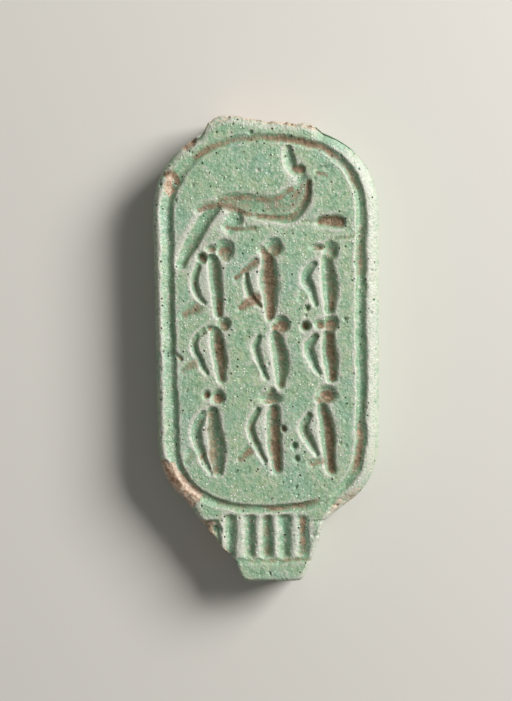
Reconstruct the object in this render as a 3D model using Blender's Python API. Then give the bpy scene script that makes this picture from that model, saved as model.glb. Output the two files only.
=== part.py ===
# Carved seal of glazed quartz faience, pressed and cut as one piece.
#
# An oblong plate with round ends lies on its plain flat back, face up.
# +X is the right side of the face, +Y its upper end, +Z comes out of it.
# A border groove runs inside a rounded rim. In the field a jackal lies above
# nine bound captives in three rows, all sunk below the face. The lower end
# runs into a tapering terminal with four reeds and a base band. The ring or
# handle that once joined both ends is broken off and isn't restored.

import math

import bmesh
import bpy
from mathutils import Vector

# Driving dimensions, in metres
SEAL_LENGTH = 0.0300
SEAL_WIDTH = 0.0146
THICKNESS = 0.0035
NARROWING = 0.0006  # how much narrower the plate is at its lower end
TOP_END = 0.00605  # height of the round upper end
FOOT_END = 0.00580  # height of the round lower end
FACE_ROUND = 0.00042  # radius along the face's edge
BACK_ROUND = 0.00030
BREAK_ROUND = 0.00008  # broken edges stay almost sharp

NECK_WIDTH = 0.00728
NECK_RISE = 0.00083  # from the plate's end to the highest point of the break
NECK_SHIFT = -0.00032

TERMINAL_REACH = 0.00393  # from the plate's lower end to the base
TERMINAL_ROOT = 0.01040  # width of the shoulders that run in from the plate
TERMINAL_WAIST = 0.00490  # width above the base band
TERMINAL_SHIFT = 0.00045  # the terminal leans to the right
BAND_HEIGHT = 0.00128
BAND_WIDTH = 0.00400
BAND_LINE_WIDTH = 0.00039
BAND_LINE_DEPTH = 0.00016
REED_GROOVES = 5
REED_PITCH = 0.00111
REED_GROOVE_WIDTH = 0.00078
REED_GROOVE_DEPTH = 0.00034

BORDER_INSET = 0.00112  # from the plate's sides to the middle of the groove
BORDER_TOP_INSET = 0.00062
BORDER_FOOT_INSET = 0.00072
BORDER_WIDTH = 0.00056
BORDER_DEPTH = 0.00042

TORSO_DEPTH = 0.00056
HEAD_DEPTH = 0.00044
LIMB_DEPTH = 0.00032
JACKAL_DEPTH = 0.00040
PIT_DEPTH = 0.00042
CLEAR = 0.00030  # how far a cutter stands above the face

# Where the plate lies: the whole seal is centred on the origin
PLATE_LENGTH = SEAL_LENGTH - NECK_RISE - TERMINAL_REACH
PLATE_TOP = SEAL_LENGTH / 2 - NECK_RISE
PLATE_FOOT = PLATE_TOP - PLATE_LENGTH
PLATE_MIDDLE = (PLATE_TOP + PLATE_FOOT) / 2
PLATE_BASE = PLATE_FOOT - TERMINAL_REACH
BAND_TOP = PLATE_BASE + BAND_HEIGHT
END_POWER = 2.6  # squareness of the round ends, 2 is an ellipse
SLACK_POWER = 2.1  # the groove's upper left corner was cut rounder

# The figures fill the field inside the border groove
FIELD_WIDTH = SEAL_WIDTH - 2 * BORDER_INSET
COLUMN_PITCH = FIELD_WIDTH * 0.286
ROW_PITCH = PLATE_LENGTH * 0.195
CAPTIVE_HEIGHT = ROW_PITCH * 0.994
CAPTIVES_RIGHT = FIELD_WIDTH * 0.031  # middle captive from the plate's middle
CAPTIVES_DOWN = PLATE_LENGTH * 0.079
JACKAL_LENGTH = FIELD_WIDTH * 0.844
JACKAL_RIGHT = FIELD_WIDTH * 0.011  # middle of its back from the plate's middle
JACKAL_UP = PLATE_LENGTH * 0.3035
REEDS_LEFT = REED_PITCH * 0.44  # the reeds sit left of the terminal's middle

# Edge of the terminal: shares of its waist across, and of the stretch from the
# plate's end down to the band
TERMINAL_RIGHT = [(0.70, -0.02), (0.655, 0.12), (0.60, 0.50), (0.50, 1.0)]
TERMINAL_LEFT = [(-0.50, 0.96), (-0.74, 0.55)]
# Edge of the base band, right to left: shares of its width and of its height
BAND_EDGE = [(0.52, 0.42), (0.42, 0.0), (-0.46, 0.0), (-0.50, 0.12), (-0.56, 0.62)]

# The broken upper edge: shares of the neck's width and of its rise, right to left
NECK_BREAK = [
    (0.495, 0.08), (0.455, 0.34), (0.26, 0.50), (0.05, 0.61),
    (-0.13, 0.74), (-0.195, 0.94), (-0.29, 1.0), (-0.38, 0.88),
    (-0.44, 0.60), (-0.485, 0.16),
]

# Captives, top row first and left to right. Points are hundredths of the
# figure's height from its place in the grid. Every figure leans its own way.
CAPTIVES = [
    dict(head=(12, 37, 11, 13), lobe=(-5, 38, 8, 5), torso=[(3, 24), (4, 6), (5, -14), (5, -46)],
         wide=(14, 16, 14, 10), arm=[(-22, 18), (-28, -3), (-23, -22), (-13, -32)],
         foot=[(-28, -41), (-42, -49)]),
    dict(head=(4, 41, 11, 11), lobe=(-9, 37, 8, 6), torso=[(-5, 30), (-3, -4), (0, -51)],
         wide=(16, 22, 10), arm=[(-33, 4), (-31, -14), (-25, -29), (-13, -38)],
         foot=[(-25, -28), (-40, -36)], sleeve=[(-20, 28), (-44, 3)]),
    dict(head=(8, 39, 9, 12), lobe=(-9, 43, 11, 4), torso=[(6, 24), (9, 3), (11, -14), (7, -40)],
         wide=(14, 17, 19, 12), arm=[(-17, 21), (-29, 5), (-25, -11), (-15, -35)],
         foot=[(-28, -20), (-34, -26)]),
    dict(head=(11, 41, 9, 9), lobe=(-7, 35, 5, 4), torso=[(2, 30), (6, 3), (9, -31)],
         wide=(15, 19, 11), arm=[(-23, 26), (-28, 12), (-20, -10), (-11, -25)],
         foot=[(-28, -10), (-44, -21)]),
    dict(head=(15, 40, 10, 10), lobe=(6, 37, 6, 5), torso=[(9, 26), (14, 7), (17, -14), (16, -41)],
         wide=(14, 17, 18, 11), arm=[(-15, 23), (-19, 11), (-13, -10), (-3, -31)],
         foot=[(-23, -21), (-40, -32)]),
    dict(head=(6, 41, 10, 12), lobe=(-7, 40, 7, 6), torso=[(3, 25), (4, 7), (7, -10), (8, -31)],
         wide=(14, 16, 17, 11), arm=[(-15, 23), (-24, 8), (-18, -8), (-8, -25)],
         foot=None),
    dict(head=(3, 45, 9, 9), lobe=(-13, 48, 5, 5), torso=[(-1, 28), (-3, 9), (2, -25), (1, -54)],
         wide=(14, 20, 20, 10), arm=[(-19, 21), (-29, 4), (-24, -22), (-8, -53)],
         foot=[(-33, -31), (-39, -40)]),
    dict(head=(3, 44, 12, 8), lobe=(1, 52, 6, 6), torso=[(4, 28), (4, 5), (6, -25), (9, -51)],
         wide=(14, 17, 16, 12), arm=[(-17, 26), (-28, 8), (-21, -14), (-9, -38)],
         foot=[(-30, -26), (-40, -36)]),
    dict(head=(3, 48, 12, 12), lobe=(-8, 42, 6, 5), torso=[(-2, 33), (2, 9), (6, -20), (8, -53)],
         wide=(16, 20, 19, 12), arm=[(-23, 19), (-31, 6), (-23, -9), (-14, -31)],
         foot=[(-2, -40), (-18, -42)]),
]

# The jackal, stroke by stroke: points and widths in hundredths of its length
# from the middle of its back, and depth as a share of JACKAL_DEPTH
JACKAL = [
    dict(part="body", points=[(-30, 3), (-16, 0), (-2, -2), (9, -2), (17, 3), (21, 11)],
         wide=(5, 9, 12, 14, 13, 9), deep=1.0, steps=8),
    dict(part="neck", points=[(19, 9), (21, 16), (18, 22)], wide=(8, 8, 8), deep=1.0, steps=4),
    dict(part="ear", points=[(15, 24), (13, 36)], wide=(6, 4), deep=1.0, steps=2),
    dict(part="muzzle", points=[(15, 23), (23, 22)], wide=(7, 4), deep=1.0, steps=2),
    dict(part="chest", points=[(25, 14), (23, 4), (17, -6), (9, -8), (-6, -6), (-21, -1), (-33, 0), (-42, -3)],
         wide=(4, 4, 4, 4, 3.5, 3.5, 3.5, 3), deep=1.15, steps=16),
    dict(part="back", points=[(13, 5.5), (4, 2.5), (-8, 3), (-22, 5)], wide=(3, 3, 3, 2.5), deep=0.7, steps=5),
    dict(part="tail", points=[(-33, -3), (-40, -9), (-46, -19), (-52, -35)],
         wide=(6, 7.5, 7.5, 6), deep=1.0, steps=7),
    dict(part="foreleg", points=[(23, -9.5), (28, -9.5), (36, -10), (45, -10)],
         wide=(2, 4, 6, 6.5), deep=0.8, steps=6),
    dict(part="hind_foot", points=[(-24, -7), (-22, -13), (-16, -15), (-10, -15)],
         wide=(4, 4, 3, 2.5), deep=0.7, steps=5),
]

# Large air pits in the paste: shares of the plate's half width and half length
PITS = [
    (-0.56, 0.335, 0.00030), (0.35, -0.010, 0.00027), (0.26, -0.617, 0.00023),
    (0.27, -0.686, 0.00021), (0.36, 0.080, 0.00018), (0.69, 0.022, 0.00016),
]

# Sections of a cut stroke, as shares of its half width and depth
STROKE_SECTION = [(-1.0, 0.0), (-0.66, 0.70), (0.0, 1.0), (0.66, 0.70), (1.0, 0.0)]
BOWL_RINGS = [(0.84, 0.55), (0.45, 0.90)]
BOWL_SIDES = 12
OUTLINE_STEPS = 13  # steps in each quarter of the plate's ends
ROUND_STEPS = 3


def remove_everything():
    for thing in list(bpy.data.objects):
        bpy.data.objects.remove(thing, do_unlink=True)


def faience(name, colour, roughness):
    material = bpy.data.materials.new(name)
    material.use_nodes = True
    shader = material.node_tree.nodes["Principled BSDF"]
    shader.inputs["Base Color"].default_value = (*colour, 1.0)
    shader.inputs["Roughness"].default_value = roughness
    shader.inputs["Metallic"].default_value = 0.0
    return material


def new_mesh_object(name, points, faces, collection):
    mesh = bpy.data.meshes.new(name)
    mesh.from_pydata(points, [], faces)
    work = bmesh.new()
    work.from_mesh(mesh)
    bmesh.ops.recalc_face_normals(work, faces=work.faces)
    work.to_mesh(mesh)
    work.free()
    made = bpy.data.objects.new(name, mesh)
    collection.objects.link(made)
    return made


# The plate's outline

def axis_x(y):
    """The right side is upright, so the middle line drifts right going down."""
    return NARROWING / 2 * (PLATE_TOP - TOP_END - y) / PLATE_LENGTH


def half_width(y):
    """Half of the plate's straight width at height y, full at the upper end's spring."""
    return SEAL_WIDTH / 2 - axis_x(y)


def end_arc(side, top, x_limit, inset=0.0, end_inset=0.0, power=END_POWER):
    """Quarter of a round end, from the plate's side in towards x_limit."""
    height = (TOP_END if top else FOOT_END) - end_inset
    spring = PLATE_TOP - TOP_END if top else PLATE_FOOT + FOOT_END
    wide = half_width(spring) - inset
    reach = min(max((x_limit - axis_x(spring)) * side / wide, 0.0001), 0.999)
    last = math.acos(reach ** (power / 2))
    points = []
    for step in range(OUTLINE_STEPS + 1):
        angle = last * step / OUTLINE_STEPS
        across = wide * math.cos(angle) ** (2 / power)
        along = height * math.sin(angle) ** (2 / power)
        points.append((axis_x(spring) + side * across, spring + (along if top else -along)))
    return points


def neck_points():
    """The broken neck from right to left."""
    return [
        (NECK_SHIFT + across * NECK_WIDTH, PLATE_TOP + rise * NECK_RISE)
        for across, rise in NECK_BREAK
    ]


def terminal_points():
    """The lower end, clockwise from its right shoulder round the base to its left one."""
    stretch = PLATE_FOOT - BAND_TOP
    right, left = [
        [(TERMINAL_SHIFT + across * TERMINAL_WAIST, PLATE_FOOT - down * stretch) for across, down in side]
        for side in (TERMINAL_RIGHT, TERMINAL_LEFT)
    ]
    band = [(TERMINAL_SHIFT + across * BAND_WIDTH, PLATE_BASE + up * BAND_HEIGHT) for across, up in BAND_EDGE]
    return right + band + left


def outline():
    """Points round the whole seal, counter-clockwise, each with its edge radius."""
    neck = neck_points()
    blend = NECK_WIDTH * 0.055  # the plate's curve runs out just beside the neck
    plate_right = list(reversed(end_arc(1, False, TERMINAL_ROOT / 2)))
    plate_right += end_arc(1, True, neck[0][0] + blend)
    plate_left = list(reversed(end_arc(-1, True, neck[-1][0] - blend)))
    plate_left += end_arc(-1, False, -TERMINAL_ROOT / 2)
    ring = [(point, FACE_ROUND) for point in plate_right]
    ring += [(point, BREAK_ROUND) for point in neck]
    ring += [(point, FACE_ROUND) for point in plate_left]
    ring += [(point, BREAK_ROUND) for point in reversed(terminal_points())]
    return ring


def inward_normals(points):
    normals = []
    for place, point in enumerate(points):
        before = Vector(points[place - 1])
        after = Vector(points[(place + 1) % len(points)])
        here = Vector(point)
        along = (here - before).normalized() + (after - here).normalized()
        along.normalize()
        normals.append(Vector((-along.y, along.x)))
    return normals


def make_plate(collection):
    """Rings of the outline, from the back's rounding up to the face's."""
    ring = outline()
    flat = [point for point, radius in ring]
    radii = [radius for point, radius in ring]
    # the edge radius changes over a few points, not at once
    for turn in range(2):
        radii = [(radii[i - 1] + 2 * radii[i] + radii[(i + 1) % len(radii)]) / 4 for i in range(len(radii))]
    inward = inward_normals(flat)
    levels = []
    for step in range(ROUND_STEPS):
        angle = math.pi / 2 * step / ROUND_STEPS
        levels.append(("back", 1 - math.sin(angle), 1 - math.cos(angle)))
    for step in range(ROUND_STEPS + 1):
        angle = math.pi / 2 * step / ROUND_STEPS
        levels.append(("face", 1 - math.cos(angle), 1 - math.sin(angle)))
    points = []
    for kind, inset, drop in levels:
        for place, normal, radius in zip(flat, inward, radii):
            size = radius if kind == "face" else min(BACK_ROUND, radius * 1.2)
            spot = Vector(place) + normal * size * inset
            height = THICKNESS - size * drop if kind == "face" else size * drop
            points.append((spot.x, spot.y, height))
    count = len(flat)
    faces = []
    for level in range(len(levels) - 1):
        for i in range(count):
            nxt = (i + 1) % count
            low = level * count
            high = low + count
            faces.append((low + i, low + nxt, high + nxt, high + i))
    faces.append(tuple(reversed(range(count))))
    faces.append(tuple(range((len(levels) - 1) * count, len(levels) * count)))
    return new_mesh_object("seal", points, faces, collection)


# Cutters

def smooth_path(points, steps):
    """Even steps along a Catmull-Rom curve through points of any size."""
    ends = [2 * points[0] - points[1]] + list(points) + [2 * points[-1] - points[-2]]
    path = []
    for step in range(steps + 1):
        place = step / steps * (len(points) - 1)
        leg = min(int(place), len(points) - 2)
        t = place - leg
        a, b, c, d = ends[leg:leg + 4]
        path.append(
            0.5 * (2 * b + (c - a) * t + (2 * a - 5 * b + 4 * c - d) * t * t
                   + (3 * b - a - 3 * c + d) * t * t * t)
        )
    return path


def stroke_cutter(name, points, widths, depth, collection, steps=6, pointed=1.0):
    """A boat-shaped cut along points, with round ends where its floor comes up."""
    marks = [Vector((x, y, wide / 2)) for (x, y), wide in zip(points, widths)]
    path = smooth_path(marks, steps)
    first, second, before, last = path[0], path[1], path[-2], path[-1]
    start = (first - second).to_2d().normalized()
    finish = (last - before).to_2d().normalized()
    sections = []
    for share in (0.96, 0.66):
        sections.append((first.to_2d() + start * first.z * pointed * share, first.z,
                         math.sqrt(1 - share * share), -start))
    for place, mark in enumerate(path):
        ahead = path[min(place + 1, len(path) - 1)]
        behind = path[max(place - 1, 0)]
        sections.append((mark.to_2d(), mark.z, 1.0, (ahead - behind).to_2d().normalized()))
    for share in (0.66, 0.96):
        sections.append((last.to_2d() + finish * last.z * pointed * share, last.z,
                         math.sqrt(1 - share * share), finish))
    points_3d = []
    for spot, half, scale, along in sections:
        side = Vector((along.y, -along.x))
        lip = 1.0 + CLEAR / max(depth, CLEAR) * 0.35
        shape = [(-lip, -CLEAR / depth)] + STROKE_SECTION + [(lip, -CLEAR / depth)]
        for across, down in shape:
            sunk = down * depth * scale if down > 0 else down * depth
            place = spot + side * across * half * scale
            points_3d.append((place.x, place.y, THICKNESS - sunk))
    wide = len(STROKE_SECTION) + 2
    faces = []
    for section in range(len(sections) - 1):
        for i in range(wide):
            nxt = (i + 1) % wide
            low = section * wide
            faces.append((low + i, low + nxt, low + wide + nxt, low + wide + i))
    faces.append(tuple(range(wide)))
    faces.append(tuple(range((len(sections) - 1) * wide, len(sections) * wide)))
    return new_mesh_object(name, points_3d, faces, collection)


def bowl_cutter(name, centre, radii, depth, collection):
    """A round or oval hollow, such as a head or an air pit."""
    rings = [(1.0 + CLEAR / depth * 0.3, -CLEAR / depth), (1.0, 0.0)] + BOWL_RINGS
    points = []
    for size, down in rings:
        for side in range(BOWL_SIDES):
            angle = 2 * math.pi * side / BOWL_SIDES
            points.append((centre[0] + radii[0] * size * math.cos(angle),
                           centre[1] + radii[1] * size * math.sin(angle),
                           THICKNESS - down * depth))
    points.append((centre[0], centre[1], THICKNESS - depth))
    faces = [tuple(range(BOWL_SIDES))]
    for ring in range(len(rings) - 1):
        for i in range(BOWL_SIDES):
            nxt = (i + 1) % BOWL_SIDES
            low = ring * BOWL_SIDES
            faces.append((low + i, low + nxt, low + BOWL_SIDES + nxt, low + BOWL_SIDES + i))
    floor = (len(rings) - 1) * BOWL_SIDES
    for i in range(BOWL_SIDES):
        faces.append((floor + i, floor + (i + 1) % BOWL_SIDES, len(points) - 1))
    return new_mesh_object(name, points, faces, collection)


def wedge_cutter(name, corners, drops, collection):
    """A broken facet: everything above a sloping face, corner by corner."""
    count = len(corners)
    points = [(x, y, THICKNESS - drop) for (x, y), drop in zip(corners, drops)]
    points += [(x, y, THICKNESS + CLEAR) for x, y in corners]
    faces = [tuple(range(count)), tuple(range(count, 2 * count))]
    for i in range(count):
        nxt = (i + 1) % count
        faces.append((i, nxt, nxt + count, i + count))
    return new_mesh_object(name, points, faces, collection)


def cut_border(collection):
    """One long stroke inside the rim. It fades out at the worn lower right."""
    top = (BORDER_INSET, BORDER_TOP_INSET)
    foot = (BORDER_INSET, BORDER_FOOT_INSET)
    right_foot = end_arc(1, False, axis_x(PLATE_FOOT) + SEAL_WIDTH * 0.30, *foot)
    right_top = end_arc(1, True, axis_x(PLATE_TOP), *top)
    left_top = end_arc(-1, True, axis_x(PLATE_TOP), *top, power=SLACK_POWER)
    left_foot = end_arc(-1, False, axis_x(PLATE_FOOT), *foot)
    last_foot = end_arc(1, False, axis_x(PLATE_FOOT), *foot)
    fade = [point for point in reversed(last_foot) if point[0] < axis_x(PLATE_FOOT) + SEAL_WIDTH * 0.20]
    route = list(reversed(right_foot)) + right_top + list(reversed(left_top))[1:] + left_foot + fade[1:]
    widths = [BORDER_WIDTH] * len(route)
    stroke_cutter("border", route, widths, BORDER_DEPTH, collection, steps=len(route) - 1, pointed=2.0)


def captive_places():
    """Grid places of the nine captives, top row first."""
    for number, figure in enumerate(CAPTIVES):
        column = number % 3 - 1
        row = 1 - number // 3
        x = CAPTIVES_RIGHT + column * COLUMN_PITCH
        y = PLATE_MIDDLE - CAPTIVES_DOWN + row * ROW_PITCH
        yield number + 1, figure, x, y


def cut_captives(collection):
    unit = CAPTIVE_HEIGHT / 100
    for number, figure, x, y in captive_places():
        def placed(points):
            return [(x + across * unit, y + up * unit) for across, up in points]
        for part in ("head", "lobe"):
            across, up, wide, tall = figure[part]
            size = 1.0 if part == "head" else 0.7
            bowl_cutter(f"captive_{number}_{part}", (x + across * unit, y + up * unit),
                        (wide * unit, tall * unit), HEAD_DEPTH * size, collection)
        stroke_cutter(f"captive_{number}_torso", placed(figure["torso"]),
                      [wide * unit for wide in figure["wide"]], TORSO_DEPTH, collection)
        for part, wide in (("arm", 11), ("foot", 8), ("sleeve", 8)):
            if figure.get(part):
                points = placed(figure[part])
                stroke_cutter(f"captive_{number}_{part}", points, [wide * unit] * len(points),
                              LIMB_DEPTH, collection, steps=5 if part == "arm" else 2)


def cut_jackal(collection):
    unit = JACKAL_LENGTH / 100
    for stroke in JACKAL:
        points = [
            (JACKAL_RIGHT + across * unit, PLATE_MIDDLE + JACKAL_UP + up * unit)
            for across, up in stroke["points"]
        ]
        stroke_cutter(f"jackal_{stroke['part']}", points, [wide * unit for wide in stroke["wide"]],
                      JACKAL_DEPTH * stroke["deep"], collection, steps=stroke["steps"])


def reed_groove_x(number):
    return TERMINAL_SHIFT - REEDS_LEFT + (number - (REED_GROOVES - 1) / 2) * REED_PITCH


def cut_terminal(collection):
    """Upright grooves leave the reeds between them, above a line for the base band."""
    top = PLATE_FOOT + BORDER_FOOT_INSET - BORDER_WIDTH / 2 - REED_GROOVE_WIDTH * 0.6
    foot = BAND_TOP + REED_GROOVE_WIDTH * 0.4
    for number in range(REED_GROOVES):
        x = reed_groove_x(number)
        stroke_cutter(f"reed_groove_{number + 1}", [(x, top), (x, (top + foot) / 2), (x, foot)],
                      [REED_GROOVE_WIDTH] * 3, REED_GROOVE_DEPTH, collection, steps=2)
    reach = TERMINAL_WAIST * 0.46
    line = [(TERMINAL_SHIFT + side * reach, BAND_TOP) for side in (-1, 0, 1)]
    stroke_cutter("band_line", line, [BAND_LINE_WIDTH] * 3, BAND_LINE_DEPTH, collection, steps=2)


def cut_breaks(collection):
    """The lost left petal of the terminal, and two chips out of the rim."""
    edge = reed_groove_x(0) - REED_GROOVE_WIDTH * 0.62
    far = TERMINAL_SHIFT - TERMINAL_ROOT * 0.60
    shallow = REED_GROOVE_DEPTH * 0.7
    deep = THICKNESS * 0.34
    corners = [
        (edge, PLATE_FOOT - TERMINAL_REACH * 0.02), (far, PLATE_FOOT + TERMINAL_REACH * 0.08),
        (far, PLATE_BASE), (edge, BAND_TOP + BAND_HEIGHT * 0.2),
    ]
    wedge_cutter("lost_petal", corners, [shallow, deep, deep, shallow], collection)
    bowl_cutter("lower_chip", (-SEAL_WIDTH * 0.402, PLATE_FOOT + FOOT_END * 0.36),
                (SEAL_WIDTH * 0.055, SEAL_WIDTH * 0.10), FACE_ROUND * 0.9, collection)
    bowl_cutter("upper_chip", (-SEAL_WIDTH * 0.466, PLATE_TOP - TOP_END * 0.62),
                (SEAL_WIDTH * 0.035, SEAL_WIDTH * 0.055), FACE_ROUND * 0.7, collection)


def cut_pits(collection):
    for number, (across, up, radius) in enumerate(PITS):
        centre = (across * SEAL_WIDTH / 2, PLATE_MIDDLE + up * PLATE_LENGTH / 2)
        bowl_cutter(f"pit_{number + 1}", centre, (radius, radius * 1.1), PIT_DEPTH, collection)


def main():
    remove_everything()
    visible = bpy.context.scene.collection
    carving = bpy.data.collections.new("carving")
    visible.children.link(carving)

    seal = make_plate(visible)
    seal.data.materials.append(faience("turquoise faience", (0.35, 0.45, 0.33), 0.55))

    cut_border(carving)
    cut_jackal(carving)
    cut_captives(carving)
    cut_terminal(carving)
    cut_breaks(carving)
    cut_pits(carving)
    for cutter in carving.objects:
        cutter.hide_render = True
        cutter.display_type = "WIRE"

    cut = seal.modifiers.new("carving", "BOOLEAN")
    cut.operation = "DIFFERENCE"
    cut.operand_type = "COLLECTION"
    cut.collection = carving
    cut.solver = "EXACT"
    seal.data.shade_smooth()
    seal.data.set_sharp_from_angle(angle=math.radians(35))


main()
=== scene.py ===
# Oblong faience seal with a jackal over nine bound captives, lying face up.
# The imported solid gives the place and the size. This file gives the worn surface.
# Millimetres until a mesh is made, +X to the face's right, +Y to its upper end, +Z out of it.

import math

import bpy
import numpy as np
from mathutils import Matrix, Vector
from mathutils.kdtree import KDTree


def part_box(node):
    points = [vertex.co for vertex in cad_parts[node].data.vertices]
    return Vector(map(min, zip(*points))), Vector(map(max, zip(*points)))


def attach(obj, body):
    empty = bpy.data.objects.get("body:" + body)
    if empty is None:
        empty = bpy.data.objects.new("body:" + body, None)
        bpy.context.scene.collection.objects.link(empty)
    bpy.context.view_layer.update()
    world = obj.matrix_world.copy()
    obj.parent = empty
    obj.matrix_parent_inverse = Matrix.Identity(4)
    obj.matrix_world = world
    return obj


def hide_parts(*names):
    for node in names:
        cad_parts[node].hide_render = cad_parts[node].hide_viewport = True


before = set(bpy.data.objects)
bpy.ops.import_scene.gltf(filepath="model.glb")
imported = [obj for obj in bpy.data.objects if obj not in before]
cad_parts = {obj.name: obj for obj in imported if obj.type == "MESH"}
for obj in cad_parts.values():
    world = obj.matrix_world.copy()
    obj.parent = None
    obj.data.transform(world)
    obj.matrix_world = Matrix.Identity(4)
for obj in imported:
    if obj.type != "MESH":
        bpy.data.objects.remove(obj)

scene = bpy.context.scene
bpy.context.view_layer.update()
mm = 0.001
lowCorner, highCorner = [[value / mm for value in corner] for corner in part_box("seal")]
sealWidth = highCorner[0] - lowCorner[0]
sealLength = highCorner[1] - lowCorner[1]

# The plate's form, in millimetres or as shares of the width or height beside them
plate = {
    "narrowing": 0.60,  # narrower at the lower end
    "topEnd": 6.05,  # height of the round upper end
    "footEnd": 5.80,
    "endPower": 2.6,  # squareness of the round ends, 2 is an ellipse
    "slackPower": 2.35,  # the groove's upper left corner was cut rounder
    "neckWidth": 7.28,
    "neckRise": 0.83,
    "neckShift": -0.32,
    "terminalReach": 3.93,
    "terminalRoot": 10.40,
    "terminalWaist": 4.90,
    "terminalShift": 0.45,
    "bandHeight": 1.28,
    "bandWidth": 4.00,
    "faceBelow": 0.035,  # the mean face lies this far under the highest points
    "rims": 2.24,  # both rims together, up to the field that the figures share out
    "neckBlend": 0.055,  # the neck's round corners, as a share of its width
    "terminalRight": [(0.70, -0.02), (0.655, 0.12), (0.60, 0.50), (0.50, 1.0)],
    "terminalLeft": [(-0.50, 0.96), (-0.74, 0.55)],
    "bandRight": [(0.44, 0.03), (0.49, 0.14), (0.53, 0.42)],
    "bandFoot": [(-0.46, 0.05), (-0.38, 0.0), (0.36, 0.0), (0.44, 0.03)],
    "bandLeft": [(-0.46, 0.05), (-0.51, 0.20), (-0.56, 0.62)],
    "neckBreak": [(0.495, 0.08), (0.455, 0.34), (0.26, 0.50), (0.05, 0.61), (-0.13, 0.74),
                  (-0.195, 0.94), (-0.29, 1.0), (-0.373, 0.96), (-0.478, 0.48), (-0.485, 0.10)],
}

# How the face meets the sides: width and fall of the slope, the radius of the lip, and
# how pale the glaze is there: worn, and on the right slope and the flank, which face the
# light, a painted highlight
edges = {
    "left": (0.55, 0.16, 0.35, 0.20),
    "right": (0.84, 0.42, 0.14, 0.58),
    "neck": (0.60, 0.14, 0.06, 0.62),
    "petal": (0.25, 0.05, 0.05, 0.0),
    "flank": (0.24, 0.20, 0.06, 0.90),
    "base": (0.22, 0.06, 0.14, 0.30),
    "blend": 0.8,  # length over which one kind of edge turns into the next
    "wobble": 0.012,  # unevenness of the outline
    "breakWobble": 0.13,
    "wobbleSize": 0.55,
    "breakSize": 0.42,
    "breakSpread": 4,  # points over which the two turn into each other
    "most": 1.2,  # lumps are cut off at this share
    "cornerWear": 24,  # turns of smoothing that round the corners
}

mesh = {
    "columns": 212,
    "rows": 398,
    "edgeShare": 0.32,  # spacing beside the edges, as a share of that on the face
    "edgeRows": 6.0,  # rows over which it widens
    "flatShare": 0.45,  # how much flat stretches of the outline count in sharing out rows
    "outlineStep": 0.03,
    "wallSteps": (0.86, 0.68, 0.50, 0.33, 0.19),
    "backRound": 0.30,
    "backAngles": (0, 30, 60, 90),
    "wallRough": (0.05, 0.9),  # depth and size of the unevenness
    "wallShares": (0.35, 1.2),  # share of it on whole walls, and the rest on broken ones
    "wallMost": 1.3,
    "wallDrift": 1.7,  # how far it drifts sideways going down
    "wallBare": 0.9,
}

fieldWidth = sealWidth - plate["rims"]
plateLength = sealLength - plate["neckRise"] - plate["terminalReach"]
plateTop = highCorner[1] - plate["neckRise"]
plateFoot = plateTop - plateLength
plateMiddle = (plateTop + plateFoot) / 2
bandTop = lowCorner[1] + plate["bandHeight"]
faceHeight = highCorner[2] - plate["faceBelow"]


# Curves and patterns

def smoothPath(points, steps):  # Catmull-Rom, so the cut runs through every point
    points = np.array(points, float)
    ends = np.vstack([2 * points[0] - points[1], points, 2 * points[-1] - points[-2]])
    places = np.linspace(0, len(points) - 1, steps + 1)
    legs = np.minimum(places.astype(int), len(points) - 2)
    t = (places - legs)[:, None]
    a, b, c, d = [ends[legs + k] for k in range(4)]
    bend = (2 * a - 5 * b + 4 * c - d) * t ** 2 + (3 * b - a - 3 * c + d) * t ** 3
    return 0.5 * (2 * b + (c - a) * t + bend)


def resample(points, shares):
    points = np.array(points, float)
    gaps = np.hypot(*np.diff(points, axis=0).T)
    run = np.concatenate([[0], np.cumsum(gaps)])
    wanted = np.array(shares) * run[-1]
    return np.column_stack([np.interp(wanted, run, points[:, k]) for k in (0, 1)])


def evenly(points, step):
    length = np.hypot(*np.diff(np.array(points, float), axis=0).T).sum()
    return resample(points, np.linspace(0, 1, max(int(length / step), 2) + 1))


def softNoise(x, y, size, seed):  # from -1 to 1, lumps of about the given size
    rng = np.random.default_rng(seed)
    across = (x + sealWidth) / size
    up = (y + sealLength) / size
    lumps = rng.uniform(-1, 1, (int(up.max()) + 3, int(across.max()) + 3))
    column = across.astype(int)
    row = up.astype(int)
    fx = across - column
    fy = up - row
    fx = fx * fx * (3 - 2 * fx)
    fy = fy * fy * (3 - 2 * fy)
    low = lumps[row, column] * (1 - fx) + lumps[row, column + 1] * fx
    high = lumps[row + 1, column] * (1 - fx) + lumps[row + 1, column + 1] * fx
    return low * (1 - fy) + high * fy


def layeredNoise(x, y, size, seed, layers=3):
    total = np.zeros(x.shape)
    shrink = 0.6  # keeps the turned places inside the seal's square of lumps
    for layer in range(layers):
        turn = 0.6 + layer * 1.1  # each layer lies turned, so no rows of lumps line up
        tx = x * math.cos(turn) - y * math.sin(turn)
        ty = x * math.sin(turn) + y * math.cos(turn)
        layerSize = size * shrink / 2 ** layer
        total += softNoise(tx * shrink, ty * shrink, layerSize, seed + layer) / 2 ** layer
    return total


def smoothStep(value, start, end):
    t = np.clip((value - start) / (end - start), 0, 1)
    return t * t * (3 - 2 * t)


def fade(value, near, far):  # 1 up to near, 0 from far
    return smoothStep(-value, -far, -near)


# Outline

def axisX(y):  # the right side is upright, so the middle line drifts right going down
    return plate["narrowing"] / 2 * (plateTop - plate["topEnd"] - y) / plateLength


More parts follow.
